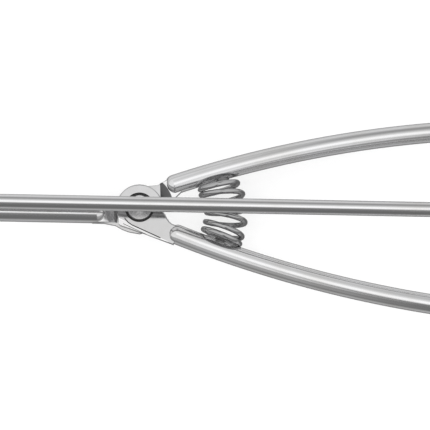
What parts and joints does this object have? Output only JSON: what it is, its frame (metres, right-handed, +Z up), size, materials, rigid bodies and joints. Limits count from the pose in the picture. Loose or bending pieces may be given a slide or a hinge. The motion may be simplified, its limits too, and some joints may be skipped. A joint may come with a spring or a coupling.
{
  "type": "spring loaded kitchen tongs",
  "caption": "All-steel cross-action kitchen tongs: squeezing the bowed handles opens the bowl jaws, and a coil spring between the handles closes them again.",
  "frame": {"origin": "bottom centre of the whole tool as it lies on its side", "axes": "+X from the jaws to the handles, +Y towards the moving handle, +Z up along the pivot axis"},
  "size_m": [0.3192, 0.0668, 0.03],
  "materials": {
    "polished_rod": "drawn stainless rod, polished",
    "turned_steel": "turned, fine circular marks",
    "spring_wire": "bright hard-drawn wire",
    "pressed_sheet": "pressed sheet, satin"
  },
  "bodies": {
    "frame": {"backbone_rod": "polished_rod", "lower_handle": "polished_rod", "pivot_pin": "turned_steel", "pivot_washer": "turned_steel", "rear_collar": "turned_steel", "coil_spring": "spring_wire", "spring_stud_lower": "turned_steel", "fixed_jaw": "pressed_sheet", "fixed_jaw_rivets": "turned_steel", "tail_eyelet": "turned_steel"},
    "lever": {"lever_arm": "polished_rod", "spring_stud_upper": "turned_steel", "moving_jaw": "pressed_sheet", "moving_jaw_rivets": "turned_steel"}
  },
  "joints": [
    {"name": "squeeze", "type": "hinge", "parent": "frame", "child": "lever", "pos_m": [-0.0318, 0.00245, 0.015], "axis": [0, 0, -1], "range_deg": [0, 14], "stiffness_Nm_per_rad": 14, "springref_deg": -5.73, "deforming": ["coil_spring"]}
  ]
}
